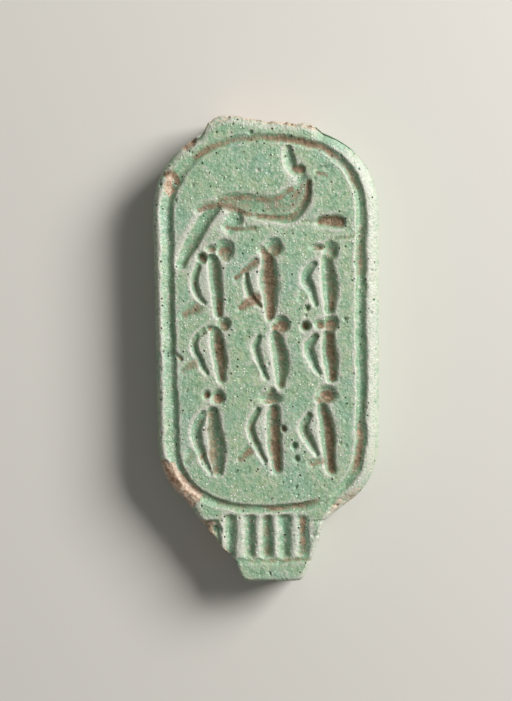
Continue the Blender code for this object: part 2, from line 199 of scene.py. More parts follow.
def endArc(side, top, xLimit, inset=0.0, endInset=0.0, power=None, steps=40):
    power = power or plate["endPower"]
    height = (plate["topEnd"] if top else plate["footEnd"]) - endInset
    spring = plateTop - plate["topEnd"] if top else plateFoot + plate["footEnd"]
    wide = sealWidth / 2 - axisX(spring) - inset
    reach = min(max((xLimit - axisX(spring)) * side / wide, 0.0001), 0.999)
    angles = np.linspace(0, math.acos(reach ** (power / 2)), steps + 1)
    x = axisX(spring) + side * wide * np.cos(angles) ** (2 / power)
    along = height * np.sin(angles) ** (2 / power)
    return np.column_stack([x, spring + (along if top else -along)])


def sharesToPlace(points, shift, wide, start, tall):
    return np.array([(shift + across * wide, start + up * tall) for across, up in points])


def outlineSides():
    wide, rise = plate["neckWidth"], plate["neckRise"]
    neck = sharesToPlace(plate["neckBreak"], plate["neckShift"], wide, plateTop, rise)
    blend = wide * plate["neckBlend"]
    shift, waist, base = plate["terminalShift"], plate["terminalWaist"], plate["bandWidth"]
    stretch = bandTop - plateFoot
    right = sharesToPlace(plate["terminalRight"], shift, waist, plateFoot, stretch)
    left = sharesToPlace(plate["terminalLeft"], shift, waist, plateFoot, stretch)
    bandRight, bandFoot, bandLeft = [
        sharesToPlace(plate[name], shift, base, lowCorner[1], plate["bandHeight"])
        for name in ("bandRight", "bandFoot", "bandLeft")
    ]
    root = plate["terminalRoot"] / 2
    chains = {
        "right": [
            (np.vstack([bandRight, right[::-1]]), "flank"),
            (np.vstack([endArc(1, False, root)[::-1], endArc(1, True, neck[0][0] + blend)]), "right"),
            (neck[:1], "neck"),
        ],
        "left": [
            (bandLeft, "base"),
            (left, "petal"),
            (np.vstack([endArc(-1, False, -root)[::-1], endArc(-1, True, neck[-1][0] - blend)]), "left"),
            (neck[-1:], "neck"),
        ],
        "top": [(neck[::-1], "neck")],
        "foot": [(bandFoot, "base")],
    }
    sides = {}
    for name, parts in chains.items():
        chain = np.vstack([points for points, kind in parts])
        kinds = np.concatenate([[kind] * len(points) for points, kind in parts])
        even = evenly(chain, mesh["outlineStep"])
        gaps = even[:, None] - chain[None]
        nearest = np.argmin(np.hypot(gaps[..., 0], gaps[..., 1]), axis=1)
        for turn in range(edges["cornerWear"]):
            even[1:-1] = (even[:-2] + 2 * even[1:-1] + even[2:]) / 4
        sides[name] = (even, kinds[nearest])
    return sides


def roughenSides(sides):  # inwards only, so the seal keeps its size
    middle = np.array([0.0, plateMiddle])
    spread = edges["breakSpread"]
    window = np.ones(2 * spread + 1) / (2 * spread + 1)
    for points, kinds in sides.values():
        broken = np.isin(kinds, ("neck", "petal"))
        reach = np.where(broken, edges["breakWobble"], edges["wobble"])
        reach = np.convolve(np.pad(reach, spread, mode="edge"), window, mode="valid")
        lumps = layeredNoise(points[:, 0], points[:, 1], edges["wobbleSize"], 11) * 0.5 + 0.5
        jags = layeredNoise(points[:, 0], points[:, 1], edges["breakSize"], 11)
        lumps = np.where(broken, jags, lumps)
        inward = middle - points
        inward /= np.hypot(*inward.T)[:, None]
        points += inward * (reach * np.clip(lumps, 0, edges["most"]))[:, None]
    for name, other in (("left", 0), ("right", -1)):  # the four sides meet at their ends
        sides["foot"][0][other] = sides[name][0][0]
        sides["top"][0][other] = sides[name][0][-1]
    return sides


def gradedSteps(count):
    place = np.arange(count - 1)
    edge = np.minimum(place, place[::-1])
    weight = 1 - (1 - mesh["edgeShare"]) * np.exp(-edge / mesh["edgeRows"])
    run = np.concatenate([[0], np.cumsum(weight)])
    return run / run[-1]


def sideRun(points):  # flat stretches of the outline take fewer rows than steep ones
    gaps = np.abs(np.diff(points, axis=0))
    run = np.concatenate([[0], np.cumsum(gaps[:, 1] + mesh["flatShare"] * gaps[:, 0])])
    return run / run[-1]


def faceGrid(sides):
    u = gradedSteps(mesh["columns"])
    v = gradedSteps(mesh["rows"])
    left, right = [
        np.column_stack([np.interp(v, sideRun(sides[name][0]), sides[name][0][:, k]) for k in (0, 1)])
        for name in ("left", "right")
    ]
    foot = resample(sides["foot"][0], u)
    top = resample(sides["top"][0], u)
    u = u[None, :, None]
    v = v[:, None, None]
    across = (1 - u) * left[:, None] + u * right[:, None]
    up = (1 - v) * foot[None] + v * top[None]
    corners = (1 - v) * ((1 - u) * left[0] + u * right[0]) + v * ((1 - u) * left[-1] + u * right[-1])
    return across + up - corners


def outlineEdge(sides):  # the whole ring, with the slope of the edge at each point
    top, left = [[part[::-1] for part in sides[name]] for name in ("top", "left")]
    runs = [sides["right"], top, left, sides["foot"]]
    ring = np.vstack([points for points, kinds in runs])
    allKinds = np.concatenate([kinds for points, kinds in runs])
    values = np.array([edges[kind] + (float(kind in ("neck", "petal")),) for kind in allKinds])
    reach = int(edges["blend"] / mesh["outlineStep"])
    window = np.ones(2 * reach + 1) / (2 * reach + 1)
    padded = np.vstack([values[-reach:], values, values[:reach]])
    columns = range(values.shape[1])
    return ring, np.column_stack([np.convolve(padded[:, k], window, mode="valid") for k in columns])


def nearestOutline(points, ring):
    tree = KDTree(len(ring))
    for number, (x, y) in enumerate(ring):
        tree.insert((x, y, 0), number)
    tree.balance()
    found = [tree.find((x, y, 0)) for x, y in points]
    return np.array([item[2] for item in found]), np.array([item[1] for item in found])


# Carving. Every cut adds to one depth map, and to a map of the earth left in it.

carving = {
    "torsoDepth": 0.44,
    "headDepth": 0.34,
    "limbDepth": 0.30,
    "jackalDepth": 0.32,
    "borderDepth": 0.27,
    "reedDepth": 0.31,
    "bandLineDepth": 0.09,
    "blend": 0.10,  # how softly one cut runs into the next
    "lip": 1.42,  # cuts are this much wider than their floor, with worn lips
    "lean": 0.08,  # the tool leaned a little, so the left walls are the gentler ones
    "wornShare": 0.10,  # share of the depth that wear took off round a cut
    "easing": 12,  # turns of smoothing, so no stroke bends sharply
    "patch": (0.9, 1.1, 0.30),  # mean, size and strength of the gaps in the earth
    "earthFade": (0.125, 1.375),  # the earth thins out between these shares of the half width
    "narrow": 0.6,  # narrow stretches are shallower, by this power
    "wornWide": 1.7,  # that wear reaches this much past the lip
    "lipHighlight": 0.42,  # painted highlight on the left lips, whose walls face the light
    "lipBand": (0.45, 0.85, 1.05, 1.5),  # where that starts, is full, weakens and ends
    "lipTurn": (0.2, 0.9),  # how far a lip must face left for it
    "bowlLip": 1.25,
    "bowlEarth": (0.4, 1.0),
    "valley": 1.5,  # over 1 a valley's sides ease out towards the lip
    "floorEdge": (0.38, 1.0),  # where a flat floor ends and where its wall meets the lip
    "strokeSteps": 28,
    "torsoLean": -0.25,  # the torsos' right walls are the gentler ones
    "torsoFlat": 0.22,
    "waver": (1.0, 0.065),  # size and reach of the hand's unevenness in every cut
}


def nearestOnPath(x, y, path):
    best = np.full(x.shape, 1e9)
    side = np.zeros(x.shape)
    along = np.zeros(x.shape)
    east = np.zeros(x.shape)
    for leg in range(len(path) - 1):
        ax, ay = path[leg][:2]
        dx, dy = path[leg + 1][:2] - path[leg][:2]
        t = np.clip(((x - ax) * dx + (y - ay) * dy) / max(dx * dx + dy * dy, 1e-12), 0, 1)
        gx = x - ax - t * dx
        gy = y - ay - t * dy
        gap = gx * gx + gy * gy
        nearer = gap < best
        best = np.where(nearer, gap, best)
        side = np.where(nearer, np.where(dx * gy - dy * gx > 0, 1.0, -1.0), side)
        along = np.where(nearer, leg + t, along)
        east = np.where(nearer, gx, east)
    gap = np.sqrt(best)
    return gap, side, along, east / (gap + 1e-6)


def smoothMax(a, b, blend):
    room = np.minimum(blend, 2 * np.minimum(a, b)) + 1e-9
    lift = np.clip(room - np.abs(a - b), 0, None) / room
    return np.maximum(a, b) + lift * lift * room / 4


class Face:  # the face's points, a little astray as a hand cuts, and what the carving does there
    def __init__(self, places):
        x, y = places.T
        size, reach = carving["waver"]
        self.x = x + reach * layeredNoise(x, y, size, 23, 3)
        self.y = y + reach * layeredNoise(x, y, size, 27, 3)
        self.depth = np.zeros(self.x.shape)
        self.earth = np.zeros(self.x.shape)
        self.wearAndHighlight = np.zeros(self.x.shape)
        mean, size, strength = carving["patch"]
        self.patch = mean + strength * self.noise(size, 21)

    def noise(self, size, seed, layers=3):
        return layeredNoise(self.x, self.y, size, seed, layers)

    def near(self, points, reach):
        points = np.array(points)[:, :2]
        low = points.min(0) - reach
        high = points.max(0) + reach
        across = (self.x > low[0]) & (self.x < high[0])
        up = (self.y > low[1]) & (self.y < high[1])
        return np.nonzero(across & up)[0]

    def add(self, spots, sunk, earth):
        self.depth[spots] = smoothMax(self.depth[spots], sunk, carving["blend"])
        self.earth[spots] = np.maximum(self.earth[spots], earth * self.patch[spots])


def trough(t, flat=0.5):  # 1 on the floor, 0 at the lip, from a valley at 0 to a flat floor at 1
    valley = np.clip(1 - t * t, 0, 1) ** carving["valley"]
    return (1 - flat) * valley + flat * fade(t, *carving["floorEdge"])


def band(value, start, full, weaker, end):
    return smoothStep(value, start, full) * fade(value, weaker, end)


def cutStroke(face, points, widths, depth, earth=0.0, side=0.0, flat=0.5, lean=carving["lean"]):
    earths = np.broadcast_to(earth, len(points))
    halves = np.array(widths, float) / 2
    path = smoothPath(np.column_stack([np.array(points, float), halves, earths]), carving["strokeSteps"])
    for turn in range(carving["easing"]):
        path[1:-1] = (path[:-2] + 2 * path[1:-1] + path[2:]) / 4
    lip = carving["lip"]
    path[:, 0] += lean * lip * path[:, 2]
    widest = path[:, 2].max()
    spots = face.near(path, widest * lip * 2)
    gap, _, along, east = nearestOnPath(face.x[spots], face.y[spots], path)
    half = np.interp(along, np.arange(len(path)), path[:, 2])
    t = gap / (half * lip * (1 - lean * east))
    worn = carving["wornShare"] * trough(t / carving["wornWide"], 0.0)
    sunk = depth * (half / widest) ** carving["narrow"] * (trough(t, flat) * (1 - worn) + worn)
    share = gap / half
    away = np.hypot(share * east - side / 2, share * np.sqrt(1 - np.clip(east * east, 0, 1)))
    soiled = np.interp(along, np.arange(len(path)), path[:, 3])
    face.add(spots, sunk, soiled * fade(away, *carving["earthFade"]))
    # the left lips, whose walls face the light, are painted pale: a painted highlight
    onLip = band(t, *carving["lipBand"]) * smoothStep(-east, *carving["lipTurn"])
    paled = carving["lipHighlight"] * min(depth / carving["limbDepth"], 1) ** 2 * onLip
    face.wearAndHighlight[spots] = np.maximum(face.wearAndHighlight[spots], paled)


def cutBowl(face, centre, radii, depth, earth=0.0, flat=0.3, low=0.0):
    spots = face.near([centre], max(radii) * 2)
    dx = (face.x[spots] - centre[0]) / radii[0]
    dy = (face.y[spots] - centre[1]) / radii[1]
    floor = np.hypot(dx, dy + low)
    gap = np.hypot(dx, dy)
    t = gap / (carving["bowlLip"] * (1 - carving["lean"] * dx / (gap + 1e-6)))
    face.add(spots, depth * trough(t, flat), earth * fade(floor, *carving["bowlEarth"]))


border = {
    "leftInset": 0.98,  # from the plate's side to the middle of the groove
    "rightInset": 1.22,
    "topInset": 0.66,
    "footInset": 0.76,
    "left": (0.42, 0.60),  # half widths towards the field and towards the rim
    "right": (0.36, 0.48),
    "top": (0.36, 0.36),
    "foot": (0.28, 0.44),
    "shallowTop": 0.45,  # share of the depth lost
    "shallowFoot": 0.10,
    "straight": 0.75,  # how straight the left rim's wall runs down into the groove
    "flat": 0.2,
    "unevenWidth": (0.10, 1.8),  # share and size of its unevenness
    "unevenDepth": (0.25, 3.0),
    "ends": (0.26, 0.24),  # where it starts and ends, right of the foot's middle, over the width
    "endFade": (-0.2, 1.6),  # it dies out over these lengths there
    "step": 0.12,
    "earthHalf": 0.34,
    "earthFade": (0.2, 1.0),
    "earthCore": 0.4,  # share of each length's reach where the earth is whole
    "earth": [  # middle, reach and share of each length with earth in the floor
        ((-0.2, 13.6), 6.6, 0.85), ((-3.9, 12.9), 2.0, 0.75), ((4.9, 12.0), 3.0, 0.80),
        ((6.1, 6.3), 2.2, 0.75), ((6.1, -6.4), 2.4, 0.85), ((1.9, -10.4), 3.0, 0.75),
        ((-2.2, -10.3), 1.8, 0.45), ((-5.9, 3.0), 2.0, 0.35),
    ],
}


def borderPath():
    left = (border["leftInset"],)
    right = (border["rightInset"],)
    foot = border["footInset"]
    topMiddle = axisX(plateTop)
    footMiddle = axisX(plateFoot)
    start, end = [footMiddle + sealWidth * share for share in border["ends"]]
    rightFoot = endArc(1, False, start, *right, foot)
    rightTop = endArc(1, True, topMiddle, *right, border["topInset"])
    leftTop = endArc(-1, True, topMiddle, *left, border["topInset"], power=plate["slackPower"])
    leftFoot = endArc(-1, False, footMiddle, *left, foot)
    lastFoot = endArc(1, False, footMiddle, *right, foot)[::-1]
    lastFoot = lastFoot[lastFoot[:, 0] < end]
    path = np.vstack([rightFoot[::-1], rightTop, leftTop[::-1][1:], leftFoot, lastFoot[1:]])
    return evenly(path, border["step"])


def cutBorder(face):
    path = borderPath()
    gap, hand, along, _ = nearestOnPath(face.x, face.y, path)
    ahead = np.gradient(path, axis=0)
    ahead /= np.hypot(*ahead.T)[:, None]
    upright = np.interp(along, np.arange(len(path)), np.abs(ahead[:, 1])) ** 2
    run = along * border["step"]
    left = (len(path) - 1) * border["step"] - run
    ends = smoothStep(run, *border["endFade"]) * smoothStep(left, *border["endFade"])
    onRight = face.x > axisX(face.y)
    onTop = face.y > plateMiddle
    inner, outer = [
        np.where(onRight, border["right"][k], border["left"][k]) * upright
        + np.where(onTop, border["top"][k], border["foot"][k]) * (1 - upright)
        for k in (0, 1)
    ]
    share, size = border["unevenWidth"]
    half = np.where(hand > 0, inner, outer) * (1 + share * face.noise(size, 31, 2))
    shallow = np.where(onTop, border["shallowTop"], border["shallowFoot"]) * (1 - upright ** 2)
    share, size = border["unevenDepth"]
    depth = carving["borderDepth"] * (1 - shallow) * (1 + share * face.noise(size, 35, 2))
    t = gap / half
    straight = border["straight"] * upright * (~onRight & (hand < 0))
    shape = trough(t, border["flat"]) * (1 - straight) + np.clip(1 - t, 0, 1) * straight
    face.depth = smoothMax(face.depth, depth * ends * shape, carving["blend"])
    earth = np.zeros(face.x.shape)
    for (x, y), reach, share in border["earth"]:
        away = np.hypot(face.x - x, face.y - y)
        earth = np.maximum(earth, share * fade(away, reach * border["earthCore"], reach))
    floor = fade(gap / border["earthHalf"], *border["earthFade"])
    face.earth = np.maximum(face.earth, earth * floor * face.patch)


# Captives, top row first and left to right, in hundredths of a figure's height from its
# place in the grid. A sleeve is the short cut above some arms, and wider gives limbs that
# are wider than the rest. Soil gives the earth in the head, the torso and the limbs, and
# the side of the torso it lies on. DownSoil gives its share at the torso's top and foot.
captives = [
    dict(head=(12, 37, 11, 13), lobe=(-5, 38, 8, 5), torso=[(-4, 24), (-1, 6), (0, -14), (3, -46)],
         wide=(14, 16, 14, 10), arm=[(-24, 18), (-30, -3), (-25, -22), (-15, -32)],
         wider=dict(foot=1.35), foot=[(-28, -41), (-42, -49)], soil=(0.8, 0.9, 0.54, 1.4),
         downSoil=(0.45, 1.15)),
    dict(head=(4, 41, 11, 11), lobe=(-9, 37, 8, 6), torso=[(-5, 30), (-3, -4), (0, -51)],
         wide=(16, 22, 10), arm=[(-33, 4), (-31, -14), (-25, -29), (-13, -38)],
         foot=[(-22, -27), (-41, -38)], sleeve=[(-22, 21), (-47, 0)],
         wider=dict(foot=1.2, sleeve=1.4), soil=(0.9, 1.2, 0.75, 0.7), downSoil=(1.0, 1.0)),
    dict(head=(7, 36, 10, 12), lobe=(-10, 40, 11, 4), torso=[(1, 24), (4, 3), (6, -14), (5, -40)],
         wide=(14, 17, 19, 12), arm=[(-17, 18), (-27, 5), (-22, -11), (-14, -35)],
         wider=dict(arm=1.4), foot=[(-28, -20), (-34, -26)], soil=(0.6, 0.9, 0.2, 1.4),
         downSoil=(0.55, 1.0)),
    dict(head=(11, 41, 9, 9), lobe=(-8, 35, 5, 4), torso=[(0, 30), (4, 3), (7, -31)],
         wide=(14, 17, 11), arm=[(-25, 26), (-30, 12), (-22, -10), (-13, -25)],
         foot=[(-28, -10), (-44, -21)], sleeve=[(-17, 31), (-31, 21)], soil=(1.0, 0.95, 0.44, 1.0),
         downSoil=(0.9, 1.0)),
    dict(head=(15, 40, 10, 10), lobe=(6, 37, 6, 5), torso=[(6, 26), (11, 7), (14, -14), (13, -38)],
         wide=(14, 17, 18, 11), arm=[(-16, 23), (-21, 11), (-15, -10), (-5, -31)],
         foot=[(-23, -21), (-40, -32)], soil=(0.9, 0.75, 0.25, 1.2), downSoil=(0.7, 1.1)),
    dict(head=(6, 41, 10, 12), lobe=(-7, 40, 7, 6), torso=[(3, 25), (4, 7), (7, -10), (8, -31)],
         wide=(14, 16, 17, 11), arm=[(-15, 23), (-24, 8), (-18, -8), (-8, -25)],
         wider=dict(arm=1.25), soil=(0.9, 1.15, 0.1, 1.2), downSoil=(0.8, 1.0)),
    dict(head=(3, 45, 9, 9), lobe=(-13, 48, 5, 5), torso=[(-5, 24), (-1, -2), (1, -25), (3, -52)],
         wide=(14, 17, 18, 13), arm=[(-17, 22), (-27, 4), (-24, -20), (-7, -55)],
         wider=dict(arm=1.35), foot=[(-33, -31), (-39, -40)], soil=(1.0, 0.68, 0.4, -0.5),
         downSoil=(0.75, 1.2)),
    dict(head=(1, 43, 14, 8), lobe=(1, 52, 6, 6), torso=[(4, 28), (4, 5), (6, -25), (8, -50)],
         wide=(14, 17, 16, 12), arm=[(-17, 27), (-28, 7), (-21, -14), (-8, -40)],
         wider=dict(arm=1.15), foot=[(-30, -26), (-40, -36)], soil=(0.9, 1.2, 0.6, 0.8),
         downSoil=(1.0, 0.95)),
    dict(head=(2, 48, 12, 12), lobe=(-8, 42, 6, 5), torso=[(-4, 32), (1, 6), (4, -22), (7, -51)],
         wide=(12, 16, 16, 12), arm=[(-22, 19), (-30, 6), (-22, -11), (-12, -31)],
         wider=dict(arm=1.3), foot=[(-4, -40), (-20, -42)], soil=(0.8, 1.1, 0.45, 1.2),
         downSoil=(0.5, 1.1)),
]
grid = {
    "columnPitch": 0.286 * fieldWidth,
    "rowPitch": 0.195 * plateLength,
    "right": 0.027 * fieldWidth,
    "down": 0.079 * plateLength,
    "figure": 0.994,  # a figure's height as a share of the row's pitch
    "headSize": 1.08,
    "limbs": {  # width, and shares of the depth and the earth
        "arm": (8.6, 1.02, 1.0),
        "foot": (16.0, 0.42, 1.6),
        "sleeve": (9.0, 0.6, 1.3),
    },
    "armTaper": (0.75, 1.0, 0.95, 0.50),
    "limbTaper": (1.0, 0.6),
    "bowls": {"head": 1.0, "lobe": 0.7},  # shares of the head's depth
    "headLow": 0.25,  # the earth lies this far below a head's middle
}


def cutCaptives(face):
    unit = grid["rowPitch"] * grid["figure"] / 100
    for number, figure in enumerate(captives):
        x = grid["right"] + (number % 3 - 1) * grid["columnPitch"]
        y = plateMiddle - grid["down"] + (1 - number // 3) * grid["rowPitch"]
        headSoil, torsoSoil, limbSoil, soilSide = figure["soil"]
        for part, share in grid["bowls"].items():
            across, up, wide, tall = figure[part]
            size = unit * grid["headSize"]
            cutBowl(face, (x + across * unit, y + up * unit), (wide * size, tall * size),
                    carving["headDepth"] * share, headSoil, low=grid["headLow"])
        torso = sharesToPlace(figure["torso"], x, unit, y, unit)
        cutStroke(face, torso, np.array(figure["wide"]) * unit, carving["torsoDepth"],
                  torsoSoil * np.linspace(*figure["downSoil"], len(torso)), soilSide,
                  carving["torsoFlat"], carving["torsoLean"])
        for part, (wide, depthShare, soilShare) in grid["limbs"].items():
            if part in figure:
                limb = sharesToPlace(figure[part], x, unit, y, unit)
                taper = np.array(grid["armTaper"])
                if part != "arm":
                    taper = np.linspace(*grid["limbTaper"], len(limb))
                wide *= figure.get("wider", {}).get(part, 1.0)
                cutStroke(face, limb, wide * unit * taper, carving["limbDepth"] * depthShare,
                          limbSoil * soilShare)


# The jackal, in hundredths of its length from the middle of its back
jackal = {
    "length": 0.844 * fieldWidth,
    "right": 0.011 * fieldWidth,
    "up": 0.3035 * plateLength,
    "strokes": {
        "body": dict(points=[(-30, 1), (-20, 1), (-12, -0.5), (-4, -2), (4, -2.5), (11, -0.5), (17, 4),
                             (21, 10)], wide=(2, 6, 8, 9, 10, 13, 13, 9), deep=0.85, soil=0.52, flat=0.8),
        "neck": dict(points=[(20, 9), (21, 15), (20, 20)], wide=(10, 8, 5), deep=0.75, flat=0.3),
        "ear": dict(points=[(16.6, 20.6), (13.6, 23.8), (12.5, 28), (12.2, 34.5)],
                    wide=(5, 6.5, 6.5, 4.5), deep=0.9, flat=0.1, lean=0.25),
        "muzzle": dict(points=[(16, 22.4), (19, 22.6), (21, 22.2)],
                       wide=(4.5, 5.5, 4.5), deep=0.8, soil=1.3, flat=0.4),
        "chest": dict(points=[(25, 14), (24, 6), (20, -2), (16, -6.5), (9, -8.5), (-6, -7)],
                      wide=(4, 5.5, 6, 6, 5.5, 4), deep=1.1, soil=0.85, flat=0.3),
        "belly": dict(points=[(-3, -7.5), (-12, -5.5), (-19, -3.2), (-26, -0.5), (-34, 0), (-43, -3.3)],
                      wide=(4.5, 5, 6, 7, 6.5, 5), deep=0.55, soil=0.72, flat=0.3),
        "back": dict(points=[(15, 10), (10, 6), (4, 3), (-4, 3), (-13, 4.8), (-22, 4.5), (-30, 2)],
                     wide=(4, 5, 5, 5, 5, 6, 6), deep=0.55, soil=0.70, flat=0.2),
        "tail": dict(points=[(-31.6, -2), (-37, -6), (-41.3, -12), (-46.6, -21.4), (-51, -30), (-54, -36.5)],
                     wide=(5.5, 7.6, 8.2, 8.2, 7.6, 5.5), deep=1.25, soil=0.35, side=0.7, flat=0.1,
                     lean=0.25),
        "forearm": dict(points=[(20, -10.5), (25, -10.2), (30, -9.8)],
                        wide=(1.5, 2, 2.5), deep=0.35, soil=0.8, flat=0.3),
        "foreleg": dict(points=[(32, -9.7), (38.6, -10), (44.5, -10.3)],
                        wide=(6.0, 7.2, 6.6), deep=0.85, soil=1.2, flat=0.8),
        "hindLeg": dict(points=[(-21, -4), (-22, -9), (-24, -13)],
                        wide=(7, 11, 8), deep=0.95, soil=0.15, flat=0.1, lean=0.4),
        "hindFoot": dict(points=[(-25, -14), (-17, -15.2), (-9, -14.8)],
                         wide=(4.0, 3.2, 3.0), deep=0.4, soil=0.65, flat=0.3),
    },
}


def cutJackal(face):
    unit = jackal["length"] / 100
    for stroke in jackal["strokes"].values():
        points = sharesToPlace(stroke["points"], jackal["right"], unit, plateMiddle + jackal["up"], unit)
        cutStroke(face, points, np.array(stroke["wide"]) * unit, carving["jackalDepth"] * stroke["deep"],
                  stroke.get("soil", 0.0), stroke.get("side", 0.0), stroke["flat"],
                  stroke.get("lean", carving["lean"]))


terminal = {
    "grooves": 5,
    "pitch": 1.155,
    "left": 0.49,  # the reeds sit left of the terminal's middle
    "endRound": 0.42,
    "bandLineWide": 0.36,
    "bandLine": (0.49, 0.03, 0.05),  # half its length over the waist, its height and its rise
    "bandSoil": (0.12, 0.42, 0.75),  # earth in it, from left to right
    "bandWear": 0.20,
    "bandEdge": 0.3,
    "bandPatches": (0.6, 0.4, 0.8),  # mean, spread and size of that wear's patches
    # painted highlight on the reeds' right sides, which face the light
    "ridgeHighlight": 0.60,
    "ridgeBand": (0.35, 0.8, 0.95, 1.35),  # where it starts, is full, weakens and ends, in half pitches
    "highlightShift": 0.17,  # how far right of the crests, on the side that faces the light, it lies
    "reedEarth": (0.35, 1.0),
    "nudges": (0.02, 0.12, 0.12, 0.10, 0.12),  # each groove's own way off the even pitch
    # each groove's top from the plate's end, its foot above the band, and shares of depth and earth
    "reeds": [
        (0.42, 0.00, 1.00, 0.0), (0.50, 0.04, 1.00, 0.25), (0.40, 0.00, 1.05, 0.6),
        (0.48, 0.02, 0.95, 0.3), (0.42, 0.06, 0.66, 0.7),
    ],
    "faintLines": (-11.1, -12.0),  # two scratches right of the reeds
    "faint": (0.6, 0.16, 0.09, 0.04),  # their half length, width, depth and sag
}


def grooveX(number):
    middle = (terminal["grooves"] - 1) / 2
    evenPlace = plate["terminalShift"] - terminal["left"] + (number - middle) * terminal["pitch"]
    return evenPlace + terminal["nudges"][number]


def cutTerminal(face):
    ends = terminal["endRound"]
    for number, (top, foot, share, soil) in enumerate(terminal["reeds"]):
        side = (face.x - grooveX(number)) / (terminal["pitch"] / 2)
        wave = 0.5 + 0.5 * np.cos(np.pi * np.clip(np.abs(side), 0, 1))  # the reeds between are round too
        reach = smoothStep(plateFoot + top - face.y, 0, ends)
        reach *= smoothStep(face.y - bandTop - foot, 0, ends)
        face.depth = smoothMax(face.depth, carving["reedDepth"] * share * wave * reach, carving["blend"])
        earth = soil * smoothStep(wave, *terminal["reedEarth"]) * reach
        face.earth = np.maximum(face.earth, earth * face.patch)
        # the reeds' right sides are painted pale: a painted highlight
        ridge = band(np.abs(side - terminal["highlightShift"]), *terminal["ridgeBand"])
        face.wearAndHighlight = np.maximum(face.wearAndHighlight, terminal["ridgeHighlight"] * ridge * reach)
    mean, spread, size = terminal["bandPatches"]
    onBand = smoothStep(bandTop - face.y, 0.0, terminal["bandEdge"])
    onBand *= mean + spread * face.noise(size, 39, 2)
    face.wearAndHighlight = np.maximum(face.wearAndHighlight, terminal["bandWear"] * onBand)
    half, over, rise = terminal["bandLine"]
    half *= plate["terminalWaist"]
    line = [(plate["terminalShift"] + side * half, bandTop + over + side * rise) for side in (-1, 0, 1)]
    cutStroke(face, line, [terminal["bandLineWide"]] * 3, carving["bandLineDepth"], terminal["bandSoil"],
              flat=0.2)
    half, wide, depth, sag = terminal["faint"]
    start = grooveX(terminal["grooves"] - 1) + terminal["pitch"] / 2
    for y in terminal["faintLines"]:
        cutStroke(face, [(start, y), (start + half, y - sag), (start + 2 * half, y)], [wide] * 3, depth)


# Breaks, chips, pits and small marks. Places in millimetres.
marks = {
    "petalStep": -11.15,  # height of the step above the lost petal
    "petalStart": 0.46,  # how far left of the first groove, in pitches, the petal broke off
    "petalFall": (0.12, 0.30, 0.8),  # fall at once, fall per millimetre and the most it falls
    "stepWaver": (0.10, 0.8),  # height and size
    "stepWall": (-0.12, 0.05),  # from foot to top
    "petalRough": (0.06, 0.5),
    "petalEdge": 0.25,  # over this length the fall begins
    "petalBare": (0.15, 0.60),  # over this length the core comes out
    "hollow": ((-3.05, -11.75), (0.34, 0.32), 0.22),
    "pits": [  # place, radius and earth
        (-4.05, 5.75, 0.37, 1.0), (2.60, 1.42, 0.36, 1.1), (1.90, -6.30, 0.24, 0.5),
        (2.00, -7.15, 0.22, 0.4), (2.65, 2.55, 0.20, 0.7), (5.10, 1.85, 0.16, 0.5),
        (-3.81, -3.05, 0.22, 0.7), (-1.03, 13.90, 0.15, 0.3), (1.15, -5.20, 0.25, 1.0),
        (-5.15, 6.20, 0.13, 0.3), (-4.75, 12.55, 0.11, 0.3), (2.00, 9.05, 0.14, 0.3),
    ],
    "chips": [  # centre, half length, half width, degrees, depth, bared core
        ((-6.25, 10.56), 1.00, 0.44, 75, 0.06, 0.98),
        ((-6.85, -0.80), 0.60, 0.14, 88, 0.02, 0.45),
        ((-2.90, 14.62), 0.60, 0.10, 20, 0.05, 0.6),
        ((1.30, 14.42), 2.20, 0.09, -7, 0.04, 0.8),
        ((4.75, -10.05), 1.00, 0.45, 42, 0.06, 0.35),
        ((5.41, 7.27), 0.80, 0.09, 10, 0.0, 0.55),
        ((3.60, 11.60), 0.55, 0.16, 10, 0.03, 0.40),
        ((-4.95, -9.25), 0.92, 0.50, -45, 0.03, 0.95),
        ((2.95, -11.20), 0.48, 0.13, 5, 0.02, 0.55),
    ],
    "chipRough": 0.42,
    "chipFloor": 0.035,  # unevenness of a chip's floor
    "chipRagged": 0.35,  # and of its edge
    "chipEdge": (0.55, 1.25),
    "facetStep": 0.05,  # a broken facet of the rim starts this far below the face
    "facetStart": 0.14,  # and takes this length to do so
    "facetRough": 0.03,
    "facetRagged": 0.15,
    "facetEdge": (0.8, 1.1),
    "edgeChips": [  # centre, radius, reach in from the edge, fall per millimetre, bared core
        ((-5.45, -8.75), 1.70, 1.10, 0.16, 1.15),
        ((-6.45, -7.60), 0.45, 0.55, 0.40, 1.0),
        ((-5.05, 13.15), 0.62, 0.42, 0.90, 0.85),
        ((5.10, -9.80), 1.40, 0.62, 0.30, 0.58),
    ],
    "scratches": [  # points, width, depth, earth
        ([(4.45, 7.02), (5.4, 7.16), (6.1, 7.34)], 0.18, 0.09, 0.6),
        ([(-6.05, -0.25), (-5.80, -0.45), (-5.50, -0.70)], 0.30, 0.16, 1.0),
        ([(-3.95, -6.90), (-4.15, -7.15)], 0.24, 0.16, 0.9),
        ([(2.95, -7.70), (3.25, -7.35)], 0.20, 0.10, 0.2),
        ([(-6.45, 11.20), (-6.15, 11.28), (-5.85, 11.05), (-5.75, 10.70)], 0.42, 0.03, 1.5),
        ([(-6.35, -7.75), (-6.00, -8.35), (-5.60, -8.80)], 0.46, 0.02, 2.2),
        ([(3.30, 11.3), (3.9, 11.1)], 0.40, 0.04, 0.5),
        ([(3.35, 11.55), (4.25, 11.75)], 0.22, 0.05, 0.3),
    ],
    "pitShape": (0.95, 1.3, 0.7),  # width and depth over the radius, flatness of the floor
    "smallPits": 260,
    "smallRadius": (0.055, 0.115),
    "smallStretch": (0.75, 1.3),
    "smallDepth": 0.08,
    "smallEarth": 0.4,
    "smallFlat": 0.6,
}


